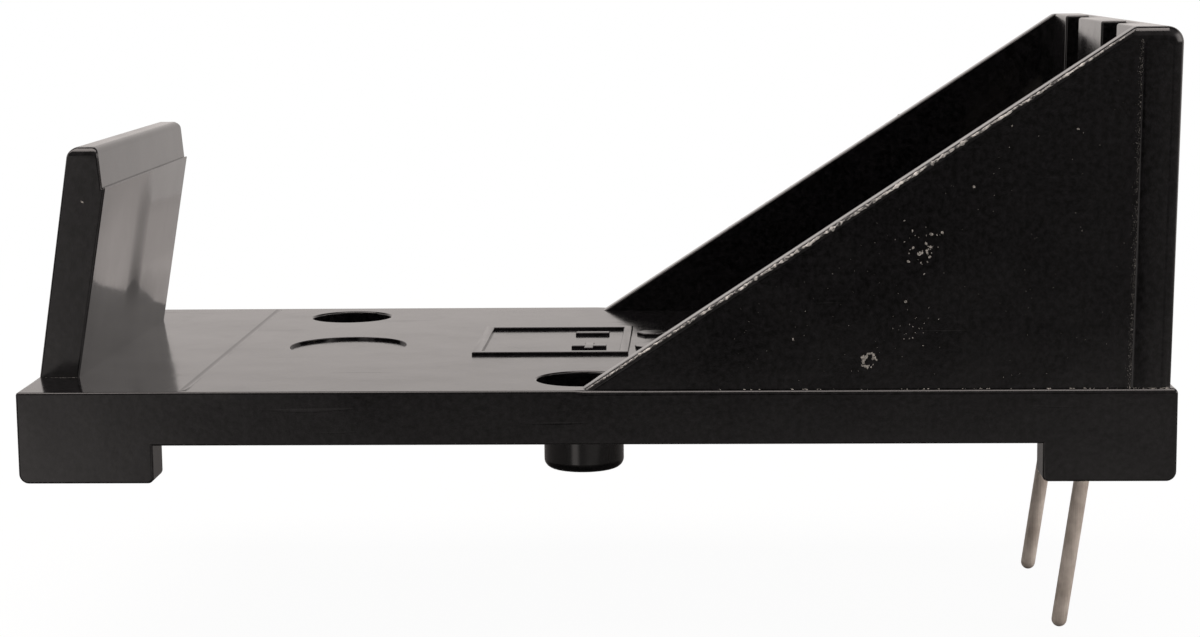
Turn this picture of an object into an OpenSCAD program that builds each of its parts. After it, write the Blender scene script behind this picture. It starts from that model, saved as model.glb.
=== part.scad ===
// Nine-volt battery holder that solders to a circuit board: a one-piece black moulding with
// a sprung latch and a walled contact end, two bowed contact springs and two wire pins.
// Millimetres. The origin is where the axis of the locating peg meets the board, +X points
// to the contacts, +Y across the battery bay and +Z up from the board.

/* [Battery] */
// Length of the battery over its terminals
battery_l = 48.5; // [46:0.1:52]
// Width of the battery
battery_w = 26.5; // [25:0.1:32]
// Thickness of the battery, whose terminals sit half way up
battery_h = 17.5; // [16.5:0.1:19]
// Distance between the two terminals
terminal_pitch = 12.7; // [8:0.1:16]
// Room left beside the battery on each side
side_play = 0.15; // [0.05:0.05:0.5]
// How far the battery presses the contact springs in
spring_squeeze = 0.4; // [0.1:0.1:1]

/* [Base] */
// Thickness of the base plate
base_t = 2.7; // [2:0.1:4]
// Strip of base that shows outside the side walls
ledge = 0.3; // [0.1:0.05:0.8]
// Strip of base that shows outside the end wall
end_ledge = 0.25; // [0.1:0.05:0.8]
// Height of the four corner feet
foot_h = 1.9; // [1:0.05:3]
// Width of a foot across the base
foot_w = 2.3; // [1.5:0.1:4]
// Length of the two feet under the latch
latch_foot_l = 6.75; // [4:0.05:10]
// Length of the two feet under the contact end
contact_foot_l = 6.5; // [4:0.05:10]
// Radius along the lower outer edge of a foot
foot_r = 0.5; // [0.2:0.1:0.9]
// Radius along the lower inner edge of a foot
foot_inner_r = 0.3; // [0.1:0.1:0.9]

/* [Floor marks] */
// Diameter of the shallow round recess
recess_d = 6.4; // [3:0.1:9]
// Depth of the round recess
recess_depth = 0.15; // [0.1:0.05:0.6]
// Centre of the round recess, measured from the latch end
recess_x = 14.5; // [10:0.1:18]
// Line that the mould insert leaves across the floor, measured from the latch end
seam_x = 8.25; // [5:0.05:9]
// Width of that line
seam_w = 0.16; // [0.1:0.02:0.3]
// Depth of that line
seam_depth = 0.08; // [0.04:0.02:0.2]
// Distance at which that line ends from the long edges
seam_end = 0.3; // [0.2:0.1:2]

/* [Latch] */
// Width of the latch
latch_w = 20.7; // [10:0.1:24]
// Thickness of the latch at its root
latch_t = 2.05; // [1.5:0.05:2.6]
// Height of the latch above the floor
latch_h = 11.8; // [11:0.1:14]
// Height of the nose that holds the battery back
nose_h = 9.75; // [8:0.05:10.5]
// Lean of the outer face, in degrees
outer_lean = 9.2; // [4:0.2:10]
// Lean of the inner face up to the nose, in degrees
inner_lean = 10; // [8:0.2:13]
// Set-back of the lead-in behind the nose
nose_step = 0.17; // [0.1:0.01:0.3]
// Height of the bevelled step between the nose and the lead-in
nose_rise = 0.12; // [0.05:0.01:0.3]
// Lean of the lead-in above the nose, in degrees
lead_in_lean = 5; // [2:0.2:12]
// Radius of the latch's outer top edge
latch_outer_r = 0.6; // [0.2:0.05:0.8]
// Radius of the latch's inner top edge
latch_inner_r = 0.4; // [0.2:0.05:0.6]
// Radius of the latch's two top corners
latch_corner_r = 0.9; // [0.3:0.1:2]

/* [Walls] */
// Height of the walls above the floor
wall_h = 17.5; // [16:0.1:22]
// Thickness of the two sloping side walls
side_wall_t = 1.3; // [0.9:0.1:2]
// Length of the side walls at the floor, up to the end wall
side_wall_l = 26.4; // [15:0.1:35]
// Thickness of the end wall
end_wall_t = 2.35; // [2:0.05:3.5]
// Outward lean of the end wall, in degrees
end_wall_lean = 1; // [0:0.1:3]
// Radius along the top outer edge of the end wall
end_wall_r = 0.8; // [0.3:0.1:1.3]
// Step where the end post stands out from the side walls
post_step = 0.05; // [0.02:0.01:0.15]
// Length of the end post
post_l = 2; // [1:0.1:2]

/* [Fixings] */
// Distance of the locating peg from the latch end
peg_x = 27.45; // [22:0.05:32]
// Diameter of the locating peg
peg_d = 4.4; // [3:0.1:6]
// Reach of the peg below the board's top face
peg_reach = 2.2; // [1.5:0.05:4]
// Radius of the peg's lower edge
peg_edge_r = 0.5; // [0.2:0.1:1]
// Diameter of the two mounting holes
hole_d = 4.6; // [2.5:0.1:5.5]
// Distance of each mounting hole from the long edge beside it
hole_edge = 3.7; // [3.2:0.1:6]
// Front mounting hole, measured from the latch end
front_hole_x = 27.95; // [24:0.05:36]
// Rear mounting hole, measured from the latch end
rear_hole_x = 13.15; // [12:0.05:24]

/* [Contact springs] */
// Thickness of the spring strip
strip_t = 0.4; // [0.2:0.05:0.5]
// Width of the spring strip
strip_w = 4.4; // [3:0.1:6]
// Room beside the strip in its channel, on each side
channel_play = 0.2; // [0.05:0.05:0.4]
// Depth of the channels in the end wall
channel_d = 1.2; // [0.8:0.1:1.4]
// How far the spring's crest stands out from the end wall
spring_rise = 2.8; // [2:0.1:3.4]
// Slope of the spring's two ramps, in degrees
ramp_angle = 42; // [35:1:55]
// Inner radius of the spring's crest
crest_r = 2.5; // [1.5:0.1:3]
// Inner radius of the other bends
bend_r = 0.4; // [0.3:0.05:0.5]
// Flat end of the spring above its upper ramp
tail_l = 0.4; // [0.2:0.1:1]
// Reach of the foot tab beyond the pin
tab_reach = 1.2; // [0.8:0.1:2]

/* [Pins] */
// Diameter of the wire pins
pin_d = 0.8; // [0.5:0.05:0.9]
// Room round the pin in the base and in the tab
pin_play = 0.05; // [0.02:0.01:0.1]
// Distance of the pins from the back of their channels
pin_setback = 1.4; // [1.4:0.05:2]
// Reach of the pin tips below the board's top face
pin_reach = 9.6; // [3:0.1:14]
// Lean of the pins below the base, in degrees
pin_lean = 8; // [2:2:10]
// Radius of the bend below the base, at the wire's middle
pin_bend_r = 2; // [1:0.5:5]
// Diameter of the pin's riveted head
head_d = 1.2; // [1:0.05:1.3]
// Height of the pin's riveted head
head_h = 0.35; // [0.2:0.05:0.6]

/* [Hidden] */
$fn = 64;

// How far a joined form is sunk into what carries it, and a cut runs past a face
sink = 0.5;
// How far a rounding piece runs past the edges that it rounds
past_edge = 0.1;

// Heights above the board
floor_z = foot_h + base_t;
top_z = floor_z + wall_h;

// Across the bay
bay_w = battery_w + 2 * side_play;
walls_w = bay_w + 2 * side_wall_t;
base_w = walls_w + 2 * ledge;
channel_w = strip_w + 2 * channel_play;

// Along the bay: the battery lies between the latch's nose and the crests of the springs
latch_end = -peg_x;
nose_x = latch_end + latch_t + nose_h * tan(inner_lean);
crest_x = nose_x + battery_l - spring_squeeze;
crest_h = battery_h / 2;
crest_from_back = spring_rise + channel_d;
crest_up_back = (crest_h - crest_from_back * sin(end_wall_lean)) / cos(end_wall_lean);
back_x = crest_x - crest_up_back * sin(end_wall_lean) + crest_from_back * cos(end_wall_lean);
inner_x = back_x - channel_d / cos(end_wall_lean);
outer_x = inner_x + end_wall_t / cos(end_wall_lean);
base_end = outer_x + end_ledge;
pin_x = back_x - pin_setback;

// Back of a contact spring with its folds still sharp: along the floor, up the channel's
// back, out to the crest, in again and up to the free end
fold_sharp = crest_r * (1 / cos(ramp_angle) - 1);
fold_from_back = crest_from_back - strip_t + fold_sharp;
ramp_height = fold_from_back / tan(ramp_angle);
spring_back = [
    [pin_x - tab_reach, floor_z],
    off_back(0, 0),
    off_back(crest_up_back - ramp_height, 0),
    off_back(crest_up_back, fold_from_back),
    off_back(crest_up_back + ramp_height, 0),
    off_back(crest_up_back + ramp_height + tail_l, 0),
];
fold_radii = [0, bend_r, bend_r, crest_r, bend_r, 0];

// Place in X and Z at a height up the channel's back and a distance out from it
function off_back(up, out) = [
    back_x + up * sin(end_wall_lean) - out * cos(end_wall_lean),
    floor_z + up * cos(end_wall_lean) + out * sin(end_wall_lean),
];

// X of a face of the leaning end wall at a height above the floor
function leaning(x, height) = x + height * tan(end_wall_lean);

// Rounds the corner b between the points a and c: what lies outside the arc, to be cut from
// an outer edge or added to an inner one
module corner_piece(a, b, c, r) {
    to_a = (a - b) / norm(a - b);
    to_c = (c - b) / norm(c - b);
    half = acos(to_a * to_c) / 2;
    middle = (to_a + to_c) / norm(to_a + to_c);
    centre = b + middle * r / sin(half);
    tangents = [b + to_a * r / tan(half), b + to_c * r / tan(half)];
    stretch = 1 + past_edge / r;
    difference() {
        polygon([
            centre,
            centre + stretch * (tangents[0] - centre),
            centre + stretch * (b - centre),
            centre + stretch * (tangents[1] - centre),
        ]);
        translate(centre) circle(r);
    }
}

// Gives a profile drawn in X and Z its width across the bay
module across(y, width) {
    translate([0, y, 0]) rotate([90, 0, 0]) linear_extrude(width, center = true) children();
}

module base_plate() {
    translate([latch_end, -base_w / 2, foot_h]) cube([base_end - latch_end, base_w, base_t]);
}

// One foot's profile, from the end of the base inwards
module foot_profile(end_x, inwards, length) {
    low_inner = [end_x + inwards * length, 0];
    low_outer = [end_x, 0];
    high_outer = [end_x, foot_h + sink];
    high_inner = [end_x + inwards * length, foot_h + sink];
    difference() {
        polygon([low_inner, low_outer, high_outer, high_inner]);
        corner_piece(low_inner, low_outer, high_outer, foot_r);
        corner_piece(high_inner, low_inner, low_outer, foot_inner_r);
    }
}

module feet() {
    for (side = [-1, 1]) {
        across(side * (base_w - foot_w) / 2, foot_w) foot_profile(latch_end, 1, latch_foot_l);
        across(side * (base_w - foot_w) / 2, foot_w) foot_profile(base_end, -1, contact_foot_l);
    }
}

module locating_peg() {
    peg_r = peg_d / 2;
    rotate_extrude() difference() {
        translate([0, -peg_reach]) square([peg_r, peg_reach + foot_h + sink]);
        corner_piece([0, -peg_reach], [peg_r, -peg_reach], [peg_r, 0], peg_edge_r);
    }
}

// Leaning plate with a lead-in set back above its nose, rounded along its top and at its two
// top corners
module latch() {
    outer_foot = [latch_end, floor_z - sink];
    outer_root = [latch_end, floor_z];
    inner_root = [latch_end + latch_t, floor_z];
    inner_foot = [latch_end + latch_t, floor_z - sink];
    nose = [nose_x, floor_z + nose_h];
    lead_in = nose + [-nose_step, nose_rise];
    inner_top = [lead_in[0] - (latch_h - nose_h - nose_rise) * tan(lead_in_lean), floor_z + latch_h];
    outer_top = [latch_end + latch_h * tan(outer_lean), floor_z + latch_h];
    difference() {
        across(0, latch_w) difference() {
            polygon([
                outer_foot, outer_root, outer_top, inner_top, lead_in, nose, inner_root, inner_foot,
            ]);
            corner_piece(outer_root, outer_top, inner_top, latch_outer_r);
            corner_piece(outer_top, inner_top, lead_in, latch_inner_r);
        }
        for (side = [-1, 1]) {
            corner = [side * latch_w / 2, floor_z + latch_h];
            translate([latch_end - sink, 0, 0]) rotate([90, 0, 90])
                linear_extrude(nose_x - latch_end + 2 * sink)
                    corner_piece(corner - [0, latch_h], corner, [0, floor_z + latch_h], latch_corner_r);
        }
    }
}

// Profile of a side wall: from its slope to the outer face of the end wall
module side_wall_profile() {
    slope_foot = [inner_x - side_wall_l, floor_z];
    slope_top = [leaning(inner_x, wall_h), top_z];
    polygon([
        slope_foot - [0, sink],
        slope_foot,
        slope_top,
        [leaning(outer_x, wall_h), top_z],
        [outer_x, floor_z],
        [outer_x, floor_z - sink],
    ]);
}

// Profile of the end wall or of its end post, from the face that starts at a given X
module end_wall_profile(face_x) {
    polygon([
        [face_x, floor_z - sink],
        [face_x, floor_z],
        [leaning(face_x, wall_h), top_z],
        [leaning(outer_x, wall_h), top_z],
        [outer_x, floor_z],
        [outer_x, floor_z - sink],
    ]);
}

// Upright slot in the end wall's inner face, open at the top
module channel_profile() {
    cut_h = wall_h + sink;
    polygon([
        [inner_x - sink, floor_z],
        [back_x, floor_z],
        [leaning(back_x, cut_h), floor_z + cut_h],
        [inner_x - sink, floor_z + cut_h],
    ]);
}

module walls() {
    outer_top = [leaning(outer_x, wall_h), top_z];
    difference() {
        union() {
            for (side = [-1, 1])
                across(side * (bay_w + side_wall_t) / 2, side_wall_t) side_wall_profile();
            across(0, walls_w) end_wall_profile(inner_x);
            across(0, walls_w + 2 * post_step) end_wall_profile(outer_x - post_l);
        }
        across(0, base_w)
            corner_piece([leaning(inner_x, wall_h), top_z], outer_top, [outer_x, floor_z], end_wall_r);
        for (side = [-1, 1])
            across(side * terminal_pitch / 2, channel_w) channel_profile();
    }
}

// Cut from the base: two mounting holes, a recess, the mould's line and two pin holes
module base_cuts() {
    hole_y = base_w / 2 - hole_edge;
    for (place = [[front_hole_x, -hole_y], [rear_hole_x, hole_y]])
        translate([latch_end + place[0], place[1], foot_h - sink]) cylinder(base_t + 2 * sink, d = hole_d);
    translate([latch_end + recess_x, 0, floor_z - recess_depth]) cylinder(recess_depth + sink, d = recess_d);
    translate([latch_end + seam_x, 0, floor_z])
        cube([seam_w, base_w - 2 * seam_end, 2 * seam_depth], center = true);
    for (side = [-1, 1])
        translate([pin_x, side * terminal_pitch / 2, foot_h - sink])
            cylinder(base_t + 2 * sink, d = pin_d + 2 * pin_play);
}

module holder_body() {
    color("#1c1b1d") {
        difference() {
            union() {
                base_plate();
                feet();
                walls();
            }
            base_cuts();
        }
        locating_peg();
        latch();
    }
}

// Unit vector to the left of the stretch that starts at a point of a line
function left_of(line, i) =
    let (step = line[i + 1] - line[i])
    [-step[1], step[0]] / norm(step);

// Point of a line moved to its left, so that its stretches lie a distance away
function moved_left(line, i, distance) =
    let (before = left_of(line, max(i - 1, 0)), after = left_of(line, min(i, len(line) - 2)))
    line[i] + distance * (before + after) / (1 + before * after);

// Strip of sheet folded along a line: sharp at first, then rounded at each fold, with the
// given radius on the inside and the sheet's thickness more on the outside
module folded_strip(back, radii, thickness, width) {
    last = len(back) - 1;
    front = [for (i = [0:last]) moved_left(back, i, thickness)];
    difference() {
        union() {
            across(0, width) polygon(concat(back, [for (i = [last:-1:0]) front[i]]));
            for (i = [1:last - 1])
                across(0, width) fold_corner(folds_left(back, i) ? front : back, i, radii[i]);
        }
        for (i = [1:last - 1])
            across(0, width + 2 * sink)
                fold_corner(folds_left(back, i) ? back : front, i, radii[i] + thickness);
    }
}

function folds_left(line, i) = left_of(line, i - 1) * (line[i + 1] - line[i]) > 0;

module fold_corner(line, i, r) {
    corner_piece(line[i - 1], line[i], line[i + 1], r);
}

// Foot tab on the floor, upright against the back of its channel, and a bowed crest
module contact_spring(side) {
    color("#b7b4ad") difference() {
        translate([0, side * terminal_pitch / 2, 0])
            folded_strip(spring_back, fold_radii, strip_t, strip_w);
        translate([pin_x, side * terminal_pitch / 2, floor_z - sink])
            cylinder(strip_t + 2 * sink, d = pin_d + 2 * pin_play);
    }
}

// Wire riveted over the foot tab, straight through the base, then leaning to its round tip
module wire_pin(side) {
    tab_top = floor_z + strip_t;
    bend_drop = pin_bend_r * sin(pin_lean);
    lean_l = (foot_h - bend_drop + pin_reach - pin_d / 2) / cos(pin_lean);
    color("#9c958b") translate([pin_x, side * terminal_pitch / 2, 0]) {
        translate([0, 0, foot_h]) cylinder(tab_top - foot_h + head_h / 2, d = pin_d);
        translate([0, 0, tab_top]) riveted_head();
        translate([-pin_bend_r, 0, foot_h]) rotate([90, 0, 0]) rotate([0, 0, -pin_lean]) {
            rotate_extrude(angle = pin_lean) translate([pin_bend_r, 0]) circle(d = pin_d);
            translate([pin_bend_r, 0, 0]) rotate([90, 0, 0]) {
                cylinder(lean_l, d = pin_d);
                translate([0, 0, lean_l]) sphere(d = pin_d);
            }
        }
    }
}

module riveted_head() {
    head_r = head_d / 2;
    rotate_extrude() difference() {
        square([head_r, head_h]);
        corner_piece([head_r, 0], [head_r, head_h], [0, head_h], head_h * 2 / 3);
    }
}

module positive_contact() { contact_spring(-1); }
module positive_pin() { wire_pin(-1); }
module negative_contact() { contact_spring(1); }
module negative_pin() { wire_pin(1); }

holder_body();
positive_contact();
positive_pin();
negative_contact();
negative_pin();
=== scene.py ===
from math import copysign, cos, pi, radians, sin, tan
from random import Random

import bmesh
import bpy
from mathutils import Matrix, Vector, noise


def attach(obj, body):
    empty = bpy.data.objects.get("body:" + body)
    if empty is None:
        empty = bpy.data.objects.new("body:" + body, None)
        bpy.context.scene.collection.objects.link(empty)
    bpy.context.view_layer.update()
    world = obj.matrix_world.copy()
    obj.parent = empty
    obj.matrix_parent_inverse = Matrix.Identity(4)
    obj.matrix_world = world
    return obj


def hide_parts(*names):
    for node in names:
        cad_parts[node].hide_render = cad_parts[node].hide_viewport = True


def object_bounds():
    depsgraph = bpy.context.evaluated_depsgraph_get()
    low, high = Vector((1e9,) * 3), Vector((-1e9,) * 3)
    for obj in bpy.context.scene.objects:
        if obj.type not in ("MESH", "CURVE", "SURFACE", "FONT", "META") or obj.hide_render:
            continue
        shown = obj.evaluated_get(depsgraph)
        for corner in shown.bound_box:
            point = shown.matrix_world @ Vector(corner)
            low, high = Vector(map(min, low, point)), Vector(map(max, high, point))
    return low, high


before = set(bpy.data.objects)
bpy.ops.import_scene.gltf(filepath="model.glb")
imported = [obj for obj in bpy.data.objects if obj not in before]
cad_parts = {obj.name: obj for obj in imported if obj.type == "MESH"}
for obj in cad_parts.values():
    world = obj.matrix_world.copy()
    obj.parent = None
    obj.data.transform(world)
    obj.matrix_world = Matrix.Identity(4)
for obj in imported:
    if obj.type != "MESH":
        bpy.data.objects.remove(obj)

cad_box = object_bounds()


# The moulded body: base, feet, peg, latch and walls come out of one polished steel tool as a
# single shot of black ABS. The tool's corners have small radii, so every outer edge is broken,
# and the rims of the two side walls, where the tool's halves meet, are rounder than the rest.
MM = 0.001
NEAR = 0.01 * MM
MERGE = 0.001 * MM
FLOOR_Z = 4.6 * MM
BASE_Y = 15 * MM
WALL_Y = 14.7 * MM
LATCH_Y = 10.35 * MM
LATCH_UNTIL_X = -20 * MM
EDGE_BREAK = 0.13 * MM
RIM_BREAK = 0.5 * MM
SLOPE_BREAK = 0.34 * MM
LEDGE_BREAK = 0.24 * MM
TO_LATCH = -0.3
SHARP_TURN = radians(32)
ROUND_TURN = radians(40)
FLAT_TURN = radians(0.4)
WIDE_FACE = 0.55 * MM


def on_wall(place):
    """Whether a place lies in the outer face of a side wall."""
    return abs(abs(place.y) - WALL_Y) < NEAR


def edge_break(edge):
    """How far a mould maker would break an outer edge, or nothing where it stays as it is."""
    if len(edge.link_faces) != 2 or not edge.is_convex or edge.calc_face_angle() < SHARP_TURN:
        return 0
    above_floor = max(vertex.co.z for vertex in edge.verts) > FLOOR_Z + NEAR
    if above_floor and all(on_wall(vertex.co) for vertex in edge.verts):
        sloping = min(face.normal.x for face in edge.link_faces) < TO_LATCH
        return SLOPE_BREAK if sloping else RIM_BREAK
    narrowest = min(face.calc_area() for face in edge.link_faces) / edge.calc_length()
    return min(EDGE_BREAK, narrowest / 3)


def is_wide(face):
    """Whether a face is wider than a broken edge."""
    return face.calc_area() / max(edge.calc_length() for edge in face.edges) > WIDE_FACE


def shade_edges(mesh):
    """Shades wide faces flat and narrow ones, such as broken edges, round from face to face."""
    bm = bmesh.new()
    bm.from_mesh(mesh)
    wide = {face: is_wide(face) for face in bm.faces}
    normals = []
    for face in bm.faces:
        for loop in face.loops:
            around = loop.vert.link_faces
            joined = [f for f in around if f.normal.angle(face.normal, pi) < ROUND_TURN]
            lead = [f for f in joined if wide[f]] or joined
            blend = sum((f.normal * f.calc_area() for f in lead), Vector())
            normals.append(face.normal.copy() if wide[face] else blend.normalized())
    bm.free()
    mesh.shade_smooth()
    mesh.normals_split_custom_set(normals)


def new_piece(name, bm, material):
    """Makes a piece of the object from a mesh."""
    mesh = bpy.data.meshes.new(name)
    bm.to_mesh(mesh)
    bm.free()
    mesh.materials.append(material)
    piece = bpy.data.objects.new(name, mesh)
    bpy.context.scene.collection.objects.link(piece)
    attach(piece, "root")
    return piece


def linear(hex_colour):
    """Turns an sRGB hex colour into the linear colour that shaders take."""
    channels = [int(hex_colour[i:i + 2], 16) / 255 for i in (1, 3, 5)]
    curved = [c / 12.92 if c < 0.04045 else ((c + 0.055) / 1.055) ** 2.4 for c in channels]
    return (*curved, 1)


def add_node(tree, kind, settings, links):
    """Adds one shader node: its settings and links, by attribute, input name or input number."""
    node = tree.nodes.new(kind)
    for key, value in settings.items():
        if isinstance(key, str) and hasattr(node, key):
            setattr(node, key, value)
        else:
            node.inputs[key].default_value = value
    for key, source in links.items():
        tree.links.new(source, node.inputs[key])
    return node


def new_material(name, settings):
    """A material with a principled shader, and that shader."""
    material = bpy.data.materials.new(name)
    material.use_nodes = True
    shader = material.node_tree.nodes["Principled BSDF"]
    for key, value in settings.items():
        shader.inputs[key].default_value = value
    return material, material.node_tree, shader


def places_in_mm(tree):
    """Places on the object in millimetres, for patterns whose scale is a real size."""
    place = add_node(tree, "ShaderNodeTexCoord", {}, {})
    in_mm = add_node(
        tree, "ShaderNodeVectorMath", {"operation": "SCALE", "Scale": 1 / MM},
        {0: place.outputs["Object"]},
    )
    return in_mm.outputs[0]


# Black ABS from a polished tool: a deep gloss that is a little uneven. The melt shrinks as it
# sets, which leaves slow waves and a fine peel, and handling leaves haze and hairline scratches.
# A thin film of dirt greys it in fine spots.
WAVE_LENGTH = 6.5
WAVE_DEPTH = 0.04 * MM
PEEL_SIZE = 0.5
PEEL_DEPTH = 0.002 * MM
HAZE_SIZE = 3.5
SCRATCH_LENGTH = 9
SCRATCH_SPACING = 0.35
SCRATCH_DEPTH = 0.002 * MM
FILM_GRAIN = 0.3
polished_abs, tree, shader = new_material("polished_black_abs", {"IOR": 1.53})
in_mm = places_in_mm(tree)
waves = add_node(
    tree, "ShaderNodeTexNoise", {"Scale": 1 / WAVE_LENGTH, "Detail": 1.5}, {"Vector": in_mm},
)
peel = add_node(
    tree, "ShaderNodeTexNoise", {"Scale": 1 / PEEL_SIZE, "Detail": 2}, {"Vector": in_mm},
)
haze = add_node(
    tree, "ShaderNodeTexNoise", {"Scale": 1 / HAZE_SIZE, "Detail": 4, "Roughness": 0.65},
    {"Vector": in_mm},
)
along_scratches = add_node(
    tree, "ShaderNodeMapping",
    {
        "Rotation": (0.3, 0.5, 0.9),
        "Scale": (1 / SCRATCH_LENGTH, 1 / SCRATCH_SPACING, 1 / SCRATCH_SPACING),
    },
    {"Vector": in_mm},
)
scratches = add_node(
    tree, "ShaderNodeTexNoise", {"Scale": 1, "Detail": 1}, {"Vector": along_scratches.outputs[0]},
)
hairlines = add_node(
    tree, "ShaderNodeMapRange", {"From Min": 0.74, "From Max": 0.82},
    {"Value": scratches.outputs["Fac"]},
)
hazed = add_node(
    tree, "ShaderNodeMapRange", {"From Min": 0.35, "From Max": 0.75, "To Min": 0.09, "To Max": 0.18},
    {"Value": haze.outputs["Fac"]},
)
roughness = add_node(
    tree, "ShaderNodeMath", {"operation": "MULTIPLY_ADD", 1: 0.1},
    {0: hairlines.outputs[0], 2: hazed.outputs[0]},
)
film = add_node(
    tree, "ShaderNodeTexNoise", {"Scale": 1 / FILM_GRAIN, "Detail": 4, "Roughness": 0.7},
    {"Vector": in_mm},
)
tint = add_node(tree, "ShaderNodeValToRGB", {}, {"Fac": film.outputs["Fac"]})
tint.color_ramp.elements[0].position = 0.38
tint.color_ramp.elements[0].color = linear("#040404")
tint.color_ramp.elements[1].position = 0.68
tint.color_ramp.elements[1].color = linear("#1b1a1c")

# The latch is thick, so its inner face has sunk a little as it cooled: a shallow hollow on the near
# half, which rises again just past the middle and fades out towards the root and the nose.
SINK_DEPTH = 0.22 * MM
SINK_LOWEST = 0.41
SINK_RISEN = 0.59
SINK_AT_NEAR_END = 0.65
ROOT_FADE = (6.3, 9)
NOSE_FADE = (14.6, 11.6)
TO_BATTERY = 0.5
axes = add_node(tree, "ShaderNodeSeparateXYZ", {}, {"Vector": in_mm})
over_latch = add_node(
    tree, "ShaderNodeMapRange", {"From Min": -LATCH_Y / MM, "From Max": LATCH_Y / MM},
    {"Value": axes.outputs["Y"]},
)
hollow = add_node(tree, "ShaderNodeValToRGB", {}, {"Fac": over_latch.outputs[0]})
hollow.color_ramp.interpolation = "EASE"
hollow.color_ramp.elements[0].position = SINK_LOWEST
hollow.color_ramp.elements[0].color = (0, 0, 0, 1)
hollow.color_ramp.elements[1].position = SINK_RISEN
hollow.color_ramp.elements[1].color = (1, 1, 1, 1)
near_end = hollow.color_ramp.elements.new(0)
near_end.color = (SINK_AT_NEAR_END, SINK_AT_NEAR_END, SINK_AT_NEAR_END, 1)
surface = add_node(tree, "ShaderNodeTexCoord", {}, {})
facing = add_node(tree, "ShaderNodeSeparateXYZ", {}, {"Vector": surface.outputs["Normal"]})
limits = [
    add_node(
        tree, "ShaderNodeMath", {"operation": "LESS_THAN", 1: LATCH_UNTIL_X / MM}, {0: axes.outputs["X"]},
    ),
    add_node(
        tree, "ShaderNodeMath", {"operation": "GREATER_THAN", 1: TO_BATTERY}, {0: facing.outputs["X"]},
    ),
]
for start, end in (ROOT_FADE, NOSE_FADE):
    limits.append(add_node(
        tree, "ShaderNodeMapRange",
        {"interpolation_type": "SMOOTHSTEP", "From Min": start, "From Max": end},
        {"Value": axes.outputs["Z"]},
    ))
sunk = hollow
for limit in limits:
    sunk = add_node(
        tree, "ShaderNodeMath", {"operation": "MULTIPLY"}, {0: sunk.outputs[0], 1: limit.outputs[0]},
    )
sink_bump = add_node(tree, "ShaderNodeBump", {"Distance": SINK_DEPTH}, {"Height": sunk.outputs[0]})
wave_bump = add_node(
    tree, "ShaderNodeBump", {"Distance": WAVE_DEPTH},
    {"Height": waves.outputs["Fac"], "Normal": sink_bump.outputs[0]},
)
peel_bump = add_node(
    tree, "ShaderNodeBump", {"Distance": PEEL_DEPTH},
    {"Height": peel.outputs["Fac"], "Normal": wave_bump.outputs[0]},
)
scratch_bump = add_node(
    tree, "ShaderNodeBump", {"Distance": SCRATCH_DEPTH, "invert": True},
    {"Height": hairlines.outputs[0], "Normal": peel_bump.outputs[0]},
)
tree.links.new(roughness.outputs[0], shader.inputs["Roughness"])
tree.links.new(tint.outputs[0], shader.inputs["Base Color"])
tree.links.new(scratch_bump.outputs[0], shader.inputs["Normal"])

# The mesh is the solid's, with its finest forms redrawn: the line across the floor is wide and runs
# out at its ends, the step over the latch's nose is deep, the latch's top corners are tight, and the
# base's edge is rounder beside the walls. The end posts stand a hair proud of the walls. They are
# laid flush first, so that the rim runs on round them, and get thin raised faces at the end.
SEAM_X = -19.2 * MM
SEAM_SPREAD = 0.12 * MM
SEAM_RUN_OUT = 2 * MM
CREASE_X = -23.851 * MM
CREASE_Z = 14.47 * MM
CREASE_DROP = 0.15 * MM
LEAD_IN_LEAN = radians(5)
SOLID_CORNER = 0.9 * MM
LATCH_CORNER = 0.5 * MM
LEDGE_FADE = 0.5 * MM
POST_STEP = 0.05 * MM
POST_LENGTH = 2 * MM
POST_BEVEL = 0.2 * MM
POST_EDGE = -0.1 * POST_STEP
POST_TOP_GAP = 1.2 * RIM_BREAK
POST_END_GAP = 1.1 * RIM_BREAK
POST_FADE_FROM = 0.8
POST_FADED = 0.9
END_LEAN = tan(radians(1))


def on_floor_rim(edge, outer_x):
    """Whether an edge runs round the base at the height of the floor."""
    level = all(abs(vertex.co.z - FLOOR_Z) < NEAR for vertex in edge.verts)
    return level and all(abs(v.co.y) > BASE_Y - NEAR or v.co.x > outer_x for v in edge.verts)


body_mesh = bmesh.new()
body_mesh.from_mesh(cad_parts["holder_body"].data)
latch_top = max(v.co.z for v in body_mesh.verts if v.co.x < LATCH_UNTIL_X)
corner_z = latch_top - SOLID_CORNER - NEAR
corner_y = LATCH_Y - SOLID_CORNER - NEAR
for vertex in body_mesh.verts:
    place = vertex.co
    if abs(abs(place.y) - WALL_Y - POST_STEP) < NEAR:
        place.y = copysign(WALL_Y, place.y)
    by_seam = abs(place.x - SEAM_X) < SEAM_SPREAD
    if by_seam and abs(place.z - FLOOR_Z) < NEAR:
        place.x += copysign(SEAM_SPREAD, place.x - SEAM_X)
    elif by_seam and 0 < FLOOR_Z - place.z < SEAM_SPREAD:
        place.y -= copysign(SEAM_RUN_OUT, place.y)
    if abs(place.x - CREASE_X) < NEAR and abs(place.z - CREASE_Z) < NEAR:
        place.x += CREASE_DROP * tan(LEAD_IN_LEAN)
        place.z -= CREASE_DROP
    if place.x < LATCH_UNTIL_X and place.z > corner_z and abs(place.y) > corner_y:
        rise = max(0, place.z - latch_top + LATCH_CORNER)
        reach = LATCH_Y - LATCH_CORNER + max(0, LATCH_CORNER ** 2 - rise ** 2) ** 0.5
        place.y = copysign(reach, place.y)
bmesh.ops.remove_doubles(body_mesh, verts=body_mesh.verts, dist=MERGE)
bmesh.ops.dissolve_degenerate(body_mesh, dist=MERGE, edges=body_mesh.edges)
bmesh.ops.dissolve_limit(
    body_mesh, angle_limit=FLAT_TURN, verts=body_mesh.verts, edges=body_mesh.edges,
)
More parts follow.
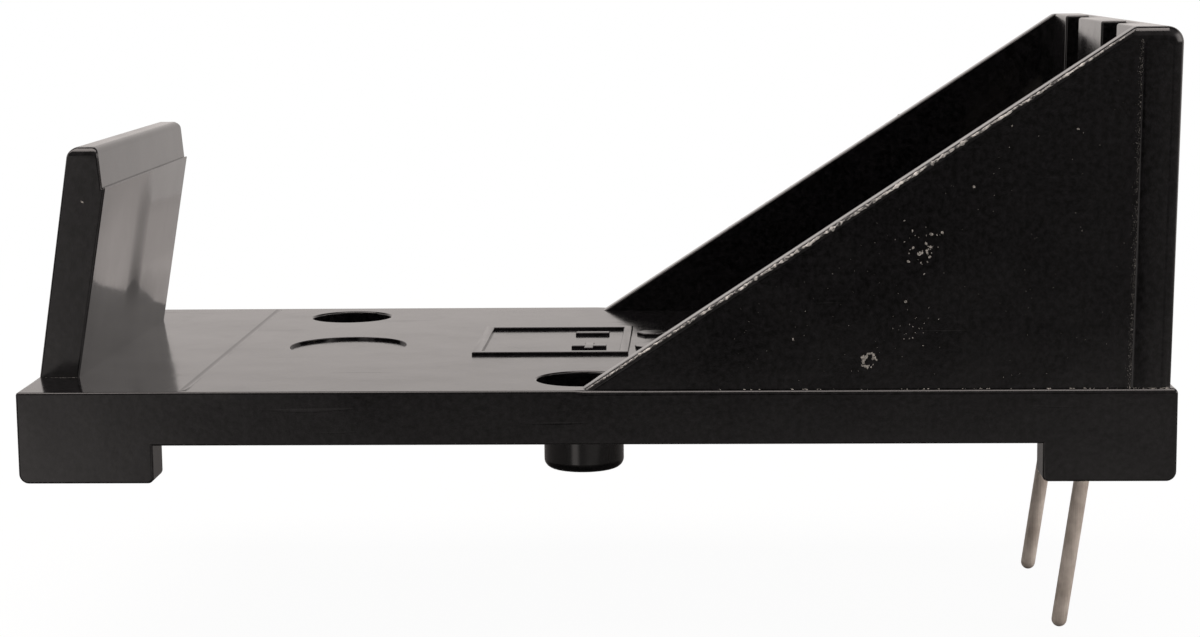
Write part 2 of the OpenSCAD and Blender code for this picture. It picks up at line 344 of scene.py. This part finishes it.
slope = [v.co.copy() for e in body_mesh.edges if edge_break(e) == SLOPE_BREAK for v in e.verts]
slope_foot = min(slope, key=lambda place: place.z)
slope_top = max(slope, key=lambda place: place.z)
end_foot_x = max(v.co.x for v in body_mesh.verts if on_wall(v.co) and v.co.z < FLOOR_Z + NEAR)
outer_x = end_foot_x + NEAR
for ledge_x in (slope_foot.x, slope_foot.x - LEDGE_FADE):
    for edge in [e for e in body_mesh.edges if on_floor_rim(e, outer_x)]:
        left, right = sorted(edge.verts, key=lambda vertex: vertex.co.x)
        if left.co.x < ledge_x < right.co.x:
            part = (ledge_x - left.co.x) / (right.co.x - left.co.x)
            bmesh.utils.edge_split(edge, left, part)
break_weight = body_mesh.edges.layers.float.new("bevel_weight_edge")
for edge in body_mesh.edges:
    past_foot = min(v.co.x for v in edge.verts) > slope_foot.x - NEAR
    by_wall = past_foot and on_floor_rim(edge, outer_x)
    edge[break_weight] = (LEDGE_BREAK if by_wall else edge_break(edge)) / RIM_BREAK
moulding = new_piece("moulded_body", body_mesh, polished_abs)
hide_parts("holder_body")
breaks = moulding.modifiers.new("edge_breaks", "BEVEL")
breaks.limit_method = "WEIGHT"
breaks.width = RIM_BREAK
breaks.segments = 4
breaks.use_clamp_overlap = False
breaks.loop_slide = False
broken = moulding.evaluated_get(bpy.context.evaluated_depsgraph_get())
moulding.data = bpy.data.meshes.new_from_object(broken)
moulding.modifiers.clear()
body_mesh = bmesh.new()
body_mesh.from_mesh(moulding.data)
post_height = slope_top.z - POST_TOP_GAP - FLOOR_Z
post_left = end_foot_x - POST_LENGTH
post_right = end_foot_x - POST_END_GAP
for side in (-1, 1):
    plate = [
        (x + height * END_LEAN, side * (WALL_Y + proud), FLOOR_Z + height)
        for height, face in (
            (0, POST_STEP), (POST_FADE_FROM * post_height, POST_FADED * POST_STEP), (post_height, 0),
        )
        for x, proud in (
            (post_left, POST_EDGE),
            (post_left + POST_BEVEL, face),
            (post_left + POST_BEVEL, -POST_STEP),
            (post_right - 2 * POST_BEVEL, -POST_STEP),
            (post_right - 2 * POST_BEVEL, face),
            (post_right, POST_EDGE),
        )
    ]
    hull = bmesh.ops.convex_hull(body_mesh, input=[body_mesh.verts.new(corner) for corner in plate])
    bmesh.ops.delete(body_mesh, geom=hull["geom_interior"], context="VERTS")
body_mesh.to_mesh(moulding.data)
body_mesh.free()
shade_edges(moulding.data)


# Where the tool's halves meet along the sloping rims, a little plastic has been squeezed out and
# scraped off again. It leaves a thread of small lumps with near-white spots, partly plastic paled
# where the blade has torn it and partly painted glints where the lumps would catch the lamp.
FLASH_STEP = 0.06 * MM
FLASH_LUMP = 0.22 * MM
FLASH_SIDES = 8
FLASH_THICK = 0.15 * MM
FLASH_THIN = 0.05 * MM
FLASH_DRIFT = 0.05 * MM
FLASH_COVER = 0.4
LUMP_ROW = 7
DRIFT_ROW = 5
TORN_SIZE = 0.28
TORN_DEPTH = 0.02 * MM
scraped_abs_and_glints, tree, shader = new_material("scraped_black_abs_and_painted_glints", {"Roughness": 0.45, "IOR": 1.53})
in_mm = places_in_mm(tree)
tear_and_glint_pattern = add_node(
    tree, "ShaderNodeTexNoise", {"Scale": 1 / TORN_SIZE, "Detail": 3, "Roughness": 0.7},
    {"Vector": in_mm},
)
# Painted glints: the near-white colour stands partly for whitened plastic and partly for glints on the
# lumps.
pale_tears_and_glints = add_node(tree, "ShaderNodeValToRGB", {}, {"Fac": tear_and_glint_pattern.outputs["Fac"]})
pale_tears_and_glints.color_ramp.elements[0].position = 0.42
pale_tears_and_glints.color_ramp.elements[0].color = linear("#191818")
pale_tears_and_glints.color_ramp.elements[1].position = 0.66
pale_tears_and_glints.color_ramp.elements[1].color = linear("#efece6")
torn_bump = add_node(
    tree, "ShaderNodeBump", {"Distance": TORN_DEPTH}, {"Height": tear_and_glint_pattern.outputs["Fac"]},
)
tree.links.new(pale_tears_and_glints.outputs[0], shader.inputs["Base Color"])
tree.links.new(torn_bump.outputs[0], shader.inputs["Normal"])
flash = bmesh.new()
run = Vector((slope_top.x - slope_foot.x, 0, slope_top.z - slope_foot.z))
upward = Vector((-run.z, 0, run.x)).normalized()
steps = int((run.length - 2 * RIM_BREAK) / FLASH_STEP)
for side in (-1, 1):
    outward = Vector((0, side, 0))
    diagonal = (upward + outward) / 2 ** 0.5
    slant = (outward - upward) / 2 ** 0.5
    corner = Vector((slope_foot.x, side * WALL_Y, slope_foot.z)) + run.normalized() * SLOPE_BREAK
    start = corner - (upward + outward) * SLOPE_BREAK * (1 - 0.5 ** 0.5)
    rings = []
    for i in range(steps + 1):
        along = i * FLASH_STEP
        lump_place = Vector((along / FLASH_LUMP, LUMP_ROW * side, 0))
        drift_place = Vector((along / (3 * FLASH_LUMP), LUMP_ROW * side, DRIFT_ROW))
        lump = max(0, FLASH_COVER + noise.noise(lump_place))
        drift = FLASH_DRIFT * noise.noise(drift_place)
        strength = sin(pi * (i / steps)) ** 0.5
        radius = FLASH_THIN + (FLASH_THICK - FLASH_THIN) * lump * strength
        centre = start + run.normalized() * along + slant * drift - diagonal * FLASH_THIN
        rings.append([
            flash.verts.new(centre + (diagonal * cos(turn) + slant * sin(turn)) * radius)
            for turn in (2 * pi * k / FLASH_SIDES for k in range(FLASH_SIDES))
        ])
    for low, high in zip(rings, rings[1:]):
        for k in range(FLASH_SIDES):
            beside = (k + 1) % FLASH_SIDES
            flash.faces.new((low[k], low[beside], high[beside], high[k]))
    flash.faces.new(rings[0])
    flash.faces.new(rings[-1])
bmesh.ops.recalc_face_normals(flash, faces=flash.faces)
new_piece("scraped_flash", flash, scraped_abs_and_glints).data.shade_smooth()


# Raised signs on the floor, cut into the tool so that they stand up in the moulding: the outline
# of a battery with its two terminals, and plain plus and minus signs beside them.
SIGN_HEIGHT = 0.16 * MM
SIGN_STROKE = 0.5 * MM
SIGN_BREAK = 0.06 * MM
SIGN_LENGTH = 8.4 * MM
SIGN_WIDTH = 9.6 * MM
SIGN_MIDDLE = Vector((-1.6 * MM, 1.2 * MM))
TERMINAL_Y = 2.4 * MM
TERMINAL_R = 0.85 * MM
TERMINAL_GAP = 0.3 * MM
ROUND_CORNERS = 20
HEXAGON_CORNERS = 6
POLE_ARM = 0.95 * MM
POLE_INSET = 2.2 * MM


def stand_up(bm, faces):
    """Raises flat faces out of the floor and breaks their upper edges."""
    raised = bmesh.ops.extrude_face_region(bm, geom=faces)["geom"]
    tops = [item for item in raised if isinstance(item, bmesh.types.BMFace)]
    upper = list({vertex for face in tops for vertex in face.verts})
    bmesh.ops.translate(bm, verts=upper, vec=(0, 0, 2 * SIGN_HEIGHT))
    bmesh.ops.recalc_face_normals(bm, faces=bm.faces)
    rims = [
        edge for edge in {e for face in tops for e in face.edges}
        if len(edge.link_faces) == 2 and edge.calc_face_angle() > SHARP_TURN
    ]
    bmesh.ops.bevel(bm, geom=rims, offset=SIGN_BREAK, segments=2, profile=0.5, affect="EDGES")


def bars(bm, rectangles):
    """Flat bars on the floor, each from its middle and its half sizes."""
    faces = []
    for middle, half_x, half_y in rectangles:
        corners = [(-half_x, -half_y), (half_x, -half_y), (half_x, half_y), (-half_x, half_y)]
        faces.append(bm.faces.new([
            bm.verts.new((middle.x + x, middle.y + y, FLOOR_Z - SIGN_HEIGHT)) for x, y in corners
        ]))
    return faces


signs = bmesh.new()
rings = []
for inset in (0, SIGN_STROKE):
    half_x = SIGN_LENGTH / 2 - inset
    half_y = SIGN_WIDTH / 2 - inset
    rings.append([
        signs.verts.new((SIGN_MIDDLE.x + x * half_x, SIGN_MIDDLE.y + y * half_y, FLOOR_Z - SIGN_HEIGHT))
        for x, y in ((-1, -1), (1, -1), (1, 1), (-1, 1))
    ])
outer, inner = rings
outline = [
    signs.faces.new((outer[i], outer[(i + 1) % 4], inner[(i + 1) % 4], inner[i])) for i in range(4)
]
stand_up(signs, outline)
for side in (-1, 1):
    terminal = SIGN_MIDDLE + Vector((SIGN_LENGTH / 2 + TERMINAL_R + TERMINAL_GAP, side * TERMINAL_Y))
    corners = ROUND_CORNERS if side < 0 else HEXAGON_CORNERS
    disc = signs.faces.new([
        signs.verts.new((
            terminal.x + TERMINAL_R * cos(2 * pi * k / corners),
            terminal.y + TERMINAL_R * sin(2 * pi * k / corners),
            FLOOR_Z - SIGN_HEIGHT,
        ))
        for k in range(corners)
    ])
    stand_up(signs, [disc])
    pole = SIGN_MIDDLE + Vector((SIGN_LENGTH / 2 - POLE_INSET, side * TERMINAL_Y))
    arm = SIGN_STROKE / 2
    if side < 0:
        half = (POLE_ARM + arm) / 2
        reach = Vector((half, 0))
        lift = Vector((0, half))
        plus = bars(signs, [
            (pole, arm, arm),
            (pole + reach, half - arm, arm),
            (pole - reach, half - arm, arm),
            (pole + lift, arm, half - arm),
            (pole - lift, arm, half - arm),
        ])
        bmesh.ops.remove_doubles(signs, verts=[v for face in plus for v in face.verts], dist=MERGE)
        stand_up(signs, [face for face in plus if face.is_valid])
    else:
        stand_up(signs, bars(signs, [(pole, POLE_ARM, arm)]))
raised_signs = new_piece("raised_signs", signs, polished_abs)
shade_edges(raised_signs.data)


# The contact springs are folded from rolled spring steel strip and nickel plated. Rolling leaves
# fine lines along the strip, and the plating is worn a little dull.
ROLLING_LINE = 0.09
ROLLING_LENGTH = 5
ROLLING_DEPTH = 0.003 * MM
DULL_PATCH = 1.4
plated_strip, tree, shader = new_material("nickel_plated_rolled_strip", {"Metallic": 1.0})
in_mm = places_in_mm(tree)
along_strip = add_node(
    tree, "ShaderNodeMapping",
    {"Scale": (1 / ROLLING_LENGTH, 1 / ROLLING_LINE, 1 / ROLLING_LENGTH)}, {"Vector": in_mm},
)
lines = add_node(
    tree, "ShaderNodeTexNoise", {"Scale": 1, "Detail": 3, "Roughness": 0.6},
    {"Vector": along_strip.outputs[0]},
)
dulled = add_node(
    tree, "ShaderNodeTexNoise", {"Scale": 1 / DULL_PATCH, "Detail": 3}, {"Vector": in_mm},
)
roughness = add_node(
    tree, "ShaderNodeMapRange", {"From Min": 0.3, "From Max": 0.7, "To Min": 0.2, "To Max": 0.38},
    {"Value": dulled.outputs["Fac"]},
)
plating = add_node(tree, "ShaderNodeValToRGB", {}, {"Fac": lines.outputs["Fac"]})
plating.color_ramp.elements[0].position = 0.3
plating.color_ramp.elements[0].color = linear("#bdb7aa")
plating.color_ramp.elements[1].position = 0.7
plating.color_ramp.elements[1].color = linear("#d2cdc2")
line_bump = add_node(
    tree, "ShaderNodeBump", {"Distance": ROLLING_DEPTH}, {"Height": lines.outputs["Fac"]},
)
tree.links.new(plating.outputs[0], shader.inputs["Base Color"])
tree.links.new(roughness.outputs[0], shader.inputs["Roughness"])
tree.links.new(line_bump.outputs[0], shader.inputs["Normal"])
for name in ("positive_contact", "negative_contact"):
    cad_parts[name].material_slots[0].material = plated_strip


# The pins are drawn copper wire, tinned so that they take solder. The tin has gone dull and
# beige with age, with faint lines from the drawing die and darker patches.
DRAWING_LINE = 0.07
DRAWING_LENGTH = 6
DRAWING_DEPTH = 0.004 * MM
PATCH_SIZE = 1.6
tinned_wire, tree, shader = new_material("aged_tinned_wire", {"Metallic": 0.15})
in_mm = places_in_mm(tree)
along_wire = add_node(
    tree, "ShaderNodeMapping",
    {"Scale": (1 / DRAWING_LINE, 1 / DRAWING_LINE, 1 / DRAWING_LENGTH)}, {"Vector": in_mm},
)
lines = add_node(
    tree, "ShaderNodeTexNoise", {"Scale": 1, "Detail": 2}, {"Vector": along_wire.outputs[0]},
)
patches = add_node(
    tree, "ShaderNodeTexNoise", {"Scale": 1 / PATCH_SIZE, "Detail": 4, "Roughness": 0.6},
    {"Vector": in_mm},
)
mottle = add_node(
    tree, "ShaderNodeMath", {"operation": "MULTIPLY_ADD", 1: 0.35},
    {0: lines.outputs["Fac"], 2: patches.outputs["Fac"]},
)
tin = add_node(tree, "ShaderNodeValToRGB", {}, {"Fac": mottle.outputs[0]})
tin.color_ramp.elements[0].position = 0.45
tin.color_ramp.elements[0].color = linear("#c4b7aa")
tin.color_ramp.elements[1].position = 0.85
tin.color_ramp.elements[1].color = linear("#fff4e8")
roughness = add_node(
    tree, "ShaderNodeMapRange", {"From Min": 0.3, "From Max": 0.7, "To Min": 0.52, "To Max": 0.36},
    {"Value": patches.outputs["Fac"]},
)
line_bump = add_node(
    tree, "ShaderNodeBump", {"Distance": DRAWING_DEPTH}, {"Height": lines.outputs["Fac"]},
)
tree.links.new(tin.outputs[0], shader.inputs["Base Color"])
tree.links.new(roughness.outputs[0], shader.inputs["Roughness"])
tree.links.new(line_bump.outputs[0], shader.inputs["Normal"])
for name in ("positive_pin", "negative_pin"):
    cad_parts[name].material_slots[0].material = tinned_wire


# Dust and scuffs: flakes that have settled on the ledge and stick to the near wall, a scuffed
# patch in the wall's middle, a ring left by a drop, and a dense line of fine grey specks along
# the edge of the end post, which draws a light line there.
FLAKE_PROUD = 0.006 * MM
DUST_GRAIN = 0.12
DUST_SEED = 9
WALL_FLAKES = (
    (19.7, 14.48, 0.2), (16.45, 8.88, 0.2), (24.65, 17.23, 0.18), (21.5, 17.4, 0.12), (10.98, 7.08, 0.15),
)
SCUFF_COUNT = 40
SCUFF_X = 17.3
SCUFF_Z = 11.5
SMEAR_COUNT = 24
SMEAR_X = 16.7
SMEAR_Z = 7.4
DROP_COUNT = 30
DROP_X = 14.67
DROP_Z = 5.97
WALL_SPECKS = 130
SPECKS_LEFT = 8
SPECKS_RIGHT = 27
SPECKS_LOW = 5
SLOPE_START = 2
SLOPE_RISE = 0.6
POST_SPECKS = 1000
LEDGE_SPECKS = 70
LEDGE_END = 29.2
LEDGE_LENGTH = 22
LATCH_FLAKE_X = 2.57
LATCH_FLAKE_Z = 13.63
LATCH_SPECKS = 40
LATCH_THICK = 1.95
TO_CAMERA_SIDE = Vector((0, -1, 0))
UP = Vector((0, 0, 1))
ALONG_LEDGE = (TO_CAMERA_SIDE + 3 * UP).normalized()
dust_draw = Random(DUST_SEED)
dusty, tree, shader = new_material("settled_grey_dust", {"Roughness": 1.0})
specks = add_node(
    tree, "ShaderNodeTexNoise", {"Scale": 1 / DUST_GRAIN, "Detail": 2}, {"Vector": places_in_mm(tree)},
)
greys = add_node(tree, "ShaderNodeValToRGB", {}, {"Fac": specks.outputs["Fac"]})
greys.color_ramp.elements[0].position = 0.3
greys.color_ramp.elements[0].color = linear("#55534f")
greys.color_ramp.elements[1].position = 0.7
greys.color_ramp.elements[1].color = linear("#c4c0b9")
tree.links.new(greys.outputs[0], shader.inputs["Base Color"])
dust = bmesh.new()


def flake(place, outward, size):
    """One low irregular flake on a flat face, closed below the face."""
    level = outward.orthogonal().normalized()
    across = outward.cross(level)
    corners = dust_draw.randint(5, 7)
    stretch = dust_draw.uniform(0.5, 1)
    turned = dust_draw.uniform(0, pi)
    low = []
    for k in range(corners):
        turn = 2 * pi * k / corners
        reach = size * dust_draw.uniform(0.6, 1.1)
        x = reach * cos(turn)
        y = reach * sin(turn) * stretch
        level_part = level * (x * cos(turned) - y * sin(turned))
        across_part = across * (x * sin(turned) + y * cos(turned))
        low.append(dust.verts.new(place + level_part + across_part - outward * FLAKE_PROUD))
    top = dust.verts.new(place + outward * FLAKE_PROUD)
    dust.faces.new(low[::-1])
    for k in range(corners):
        dust.faces.new((low[k], low[(k + 1) % corners], top))


def on_near_wall(x, z):
    """A place on the near side wall, from its X and Z in millimetres."""
    return Vector((x * MM, -WALL_Y, z * MM))


for x, z, size in WALL_FLAKES:
    flake(on_near_wall(x, z), TO_CAMERA_SIDE, size * MM)
for scuff in range(SCUFF_COUNT):
    place = on_near_wall(dust_draw.gauss(SCUFF_X, 0.55), dust_draw.gauss(SCUFF_Z, 0.6))
    flake(place, TO_CAMERA_SIDE, dust_draw.uniform(0.05, 0.22) * MM)
for smear in range(SMEAR_COUNT):
    place = on_near_wall(dust_draw.gauss(SMEAR_X, 0.6), dust_draw.gauss(SMEAR_Z, 0.5))
    flake(place, TO_CAMERA_SIDE, dust_draw.uniform(0.03, 0.09) * MM)
for drop in range(DROP_COUNT):
    turn = dust_draw.uniform(0, 2 * pi)
    reach = dust_draw.uniform(0.2, 0.4)
    place = on_near_wall(DROP_X + reach * cos(turn), DROP_Z + 1.1 * reach * sin(turn))
    flake(place, TO_CAMERA_SIDE, dust_draw.uniform(0.1, 0.22) * MM)
for speck in range(WALL_SPECKS):
    x = dust_draw.uniform(SPECKS_LEFT, SPECKS_RIGHT)
    z = dust_draw.uniform(SPECKS_LOW, SPECKS_LOW + (x - SLOPE_START) * SLOPE_RISE)
    flake(on_near_wall(x, z), TO_CAMERA_SIDE, dust_draw.uniform(0.015, 0.05) * MM)
# A dense line of fine grey specks hugging the end post's left edge, which draws a light line along it.
for speck in range(POST_SPECKS):
    height = dust_draw.uniform(0, 1) ** 1.2 * post_height
    x = post_left + height * END_LEAN - abs(dust_draw.gauss(0, 0.1)) * MM
    place = Vector((x, -WALL_Y, FLOOR_Z + height))
    flake(place, TO_CAMERA_SIDE, dust_draw.uniform(0.01, 0.032) * MM)
for speck in range(LEDGE_SPECKS):
    x = LEDGE_END - LEDGE_LENGTH * dust_draw.uniform(0, 1) ** 1.6
    place = Vector((x * MM, -WALL_Y - dust_draw.uniform(0.06, 0.12) * MM, FLOOR_Z))
    flake(place, ALONG_LEDGE, dust_draw.uniform(0.02, 0.1) * MM)
latch_root = cad_box[0].x
latch_flake = Vector((latch_root + LATCH_FLAKE_X * MM, -LATCH_Y, LATCH_FLAKE_Z * MM))
flake(latch_flake, TO_CAMERA_SIDE, 0.2 * MM)
# A row of fine grey specks on the floor along the foot of the latch's near end, which draws a light line
# there.
for speck in range(LATCH_SPECKS):
    x = latch_root + dust_draw.uniform(0.1, LATCH_THICK) * MM
    place = Vector((x, -LATCH_Y - dust_draw.uniform(0.02, 0.1) * MM, FLOOR_Z))
    flake(place, UP, dust_draw.uniform(0.02, 0.06) * MM)
new_piece("dust_and_scuffs", dust, dusty)


# The stage: a small sheet of card under the pins' tips that ends just before the holder. Its grey
# where the holder stands is painted shade, for the holder's lower faces to mirror, and it is white
# behind. The camera sees it white with a faint shadow, which fades out before the card's far edge.
CARD_SIDE = 800
CARD_FRONT = -30
CARD_BACK = 170
PAINTED_SHADE_UNTIL = 55
WHITE_FROM = 90
# Painted shade: the card's grey level near the holder.
PAINTED_SHADE_GREY = 0.13
CARD_WHITE = 0.62
SHADOW_HIDDEN = 0.96
floor_z = cad_box[0].z
bm = bmesh.new()
bm.faces.new([
    bm.verts.new((x * MM, y * MM, floor_z))
    for x, y in (
        (-CARD_SIDE, CARD_FRONT), (CARD_SIDE, CARD_FRONT), (CARD_SIDE, CARD_BACK), (-CARD_SIDE, CARD_BACK),
    )
])
mesh = bpy.data.meshes.new("card_sheet")
bm.to_mesh(mesh)
bm.free()
sheet = bpy.data.objects.new("card_sheet", mesh)
bpy.context.scene.collection.objects.link(sheet)
card, tree, shader = new_material("card_with_painted_shade", {"Roughness": 0.9})
rays = add_node(tree, "ShaderNodeLightPath", {}, {})
across = add_node(tree, "ShaderNodeSeparateXYZ", {}, {"Vector": places_in_mm(tree)})
# The card's colour: painted shade in grey near the holder, rising to white further back.
albedo_with_painted_shade = add_node(
    tree, "ShaderNodeMapRange",
    {"From Min": PAINTED_SHADE_UNTIL, "From Max": WHITE_FROM, "To Min": PAINTED_SHADE_GREY, "To Max": CARD_WHITE},
    {"Value": across.outputs["Y"]},
)
colour = add_node(
    tree, "ShaderNodeMath", {"operation": "MAXIMUM"},
    {0: rays.outputs["Is Camera Ray"], 1: albedo_with_painted_shade.outputs[0]},
)
tree.links.new(colour.outputs[0], shader.inputs["Base Color"])
fade = add_node(
    tree, "ShaderNodeMapRange",
    {"From Min": WHITE_FROM, "From Max": CARD_BACK, "To Min": SHADOW_HIDDEN, "To Max": 1},
    {"Value": across.outputs["Y"]},
)
seen = add_node(
    tree, "ShaderNodeMath", {"operation": "MULTIPLY"},
    {0: rays.outputs["Is Camera Ray"], 1: fade.outputs[0]},
)
white = add_node(tree, "ShaderNodeEmission", {"Color": (1, 1, 1, 1), "Strength": 1}, {})
mixed = add_node(
    tree, "ShaderNodeMixShader", {}, {0: seen.outputs[0], 1: shader.outputs[0], 2: white.outputs[0]},
)
tree.links.new(mixed.outputs[0], tree.nodes["Material Output"].inputs["Surface"])
mesh.materials.append(card)


# The room: a warm white backdrop behind the holder that ends below the dark ceiling. On the
# camera's own side it is dim, with a window and daylight to the left, lamplight to the right and
# a pale table below. Each level fades along one axis. The camera itself sees plain white.
world = bpy.data.worlds.new("white_backdrop")
world.use_nodes = True
bpy.context.scene.world = world
tree = world.node_tree
tree.nodes.clear()
place = add_node(tree, "ShaderNodeTexCoord", {}, {})
direction = add_node(tree, "ShaderNodeSeparateXYZ", {}, {"Vector": place.outputs["Generated"]})
levels = {}
for name, axis, start, end, low, high in (
    ("behind", "Y", -0.1, 0.5, 0, 1),
    ("backdrop", "Z", 0.62, 0.38, 0.08, 0.8),
    ("window", "X", -0.14, -0.34, 0, 0.9),
    ("window_end", "X", -0.6, -0.45, 0, 1),
    ("daylight", "X", -0.4, -0.9, 0, 1.4),
    ("lamplight", "X", 0.45, 0.9, 0, 2.6),
    ("over_sill", "Z", 0, 0.1, 0, 1),
    ("under_ceiling", "Z", 0.75, 0.5, 0, 1),
    ("under_blind", "Z", 0.35, 0.1, 0, 1),
    ("far_lamp", "X", 0, 0.3, 0.02, 0.17),
    ("table", "Z", -0.145, -0.2, 0, 0.3),
    ("ceiling", "Z", 0.1, 0.4, 0, 0.14),
):
    level = add_node(
        tree, "ShaderNodeMapRange",
        {
            "interpolation_type": "SMOOTHSTEP",
            "From Min": start, "From Max": end, "To Min": low, "To Max": high,
        },
        {"Value": direction.outputs[axis]},
    )
    levels[name] = level.outputs[0]
pane = add_node(
    tree, "ShaderNodeMath", {"operation": "MULTIPLY"}, {0: levels["window"], 1: levels["window_end"]},
)
flanks = add_node(
    tree, "ShaderNodeMath", {"operation": "ADD"}, {0: levels["daylight"], 1: levels["lamplight"]},
)
upright = add_node(
    tree, "ShaderNodeMath", {"operation": "MULTIPLY"},
    {0: levels["over_sill"], 1: levels["under_ceiling"]},
)
dim = add_node(
    tree, "ShaderNodeMath", {"operation": "MULTIPLY_ADD"},
    {0: flanks.outputs[0], 1: upright.outputs[0], 2: levels["far_lamp"]},
)
sides = add_node(
    tree, "ShaderNodeMath", {"operation": "MULTIPLY_ADD"},
    {0: pane.outputs[0], 1: levels["under_blind"], 2: dim.outputs[0]},
)
plain = add_node(
    tree, "ShaderNodeMath", {"operation": "ADD"}, {0: levels["table"], 1: levels["ceiling"]},
)
front = add_node(
    tree, "ShaderNodeMath", {"operation": "ADD"}, {0: sides.outputs[0], 1: plain.outputs[0]},
)
room = add_node(
    tree, "ShaderNodeMix", {}, {0: levels["behind"], 2: front.outputs[0], 3: levels["backdrop"]},
)
lit = add_node(
    tree, "ShaderNodeBackground", {"Color": linear("#fff7f3")}, {"Strength": room.outputs[0]},
)
white = add_node(tree, "ShaderNodeBackground", {"Color": (1, 1, 1, 1), "Strength": 1}, {})
rays = add_node(tree, "ShaderNodeLightPath", {}, {})
seen = add_node(
    tree, "ShaderNodeMixShader", {},
    {0: rays.outputs["Is Camera Ray"], 1: lit.outputs[0], 2: white.outputs[0]},
)
add_node(tree, "ShaderNodeOutputWorld", {}, {"Surface": seen.outputs[0]})


# The lamp: one long soft light overhead, of a warm white. It glints along the broken edges of the
# rims and lights the pins and the dust.
LAMP_LENGTH = 600 * MM
LAMP_WIDTH = 360 * MM
LAMP_WATTS = 2.7
LAMP_PLACE = Vector((-150, -20, 500)) * MM
lamp_data = bpy.data.lights.new("overhead_lamp", "AREA")
lamp_data.shape = "RECTANGLE"
lamp_data.size = LAMP_LENGTH
lamp_data.size_y = LAMP_WIDTH
lamp_data.energy = LAMP_WATTS
lamp_data.color = linear("#fff4ef")[:3]
lamp = bpy.data.objects.new("overhead_lamp", lamp_data)
bpy.context.scene.collection.objects.link(lamp)
lamp.location = LAMP_PLACE


# The camera: it stands where the photograph's stood, a little higher than the end wall and looking
# slightly down. Its place and angles were worked out from the base's corners and edges. The picture
# is 1200 by 637 pixels.
PICTURE_WIDTH = 1200
FOCAL_PIXELS = 2506.5
SENSOR_WIDTH = 36
YAW = 0.0408
PITCH = 0.1418
ROLL = -0.0107
CAMERA_PLACE = Vector((6.513, -136.063, 25.48)) * MM
forward = Vector((-sin(YAW) * cos(PITCH), cos(YAW) * cos(PITCH), -sin(PITCH)))
level = Vector((cos(YAW), sin(YAW), 0))
upward = level.cross(forward)
right = level * cos(ROLL) + upward * sin(ROLL)
up = upward * cos(ROLL) - level * sin(ROLL)
camera_data = bpy.data.cameras.new("photograph_camera")
camera_data.sensor_fit = "HORIZONTAL"
camera_data.sensor_width = SENSOR_WIDTH
camera_data.lens = FOCAL_PIXELS / PICTURE_WIDTH * SENSOR_WIDTH
camera_data.clip_start = 5 * MM
camera = bpy.data.objects.new("photograph_camera", camera_data)
camera.matrix_world = Matrix((right, up, -forward)).transposed().to_4x4()
camera.matrix_world.translation = CAMERA_PLACE
bpy.context.scene.collection.objects.link(camera)
bpy.context.scene.camera = camera
bpy.context.scene.view_settings.view_transform = "Standard"
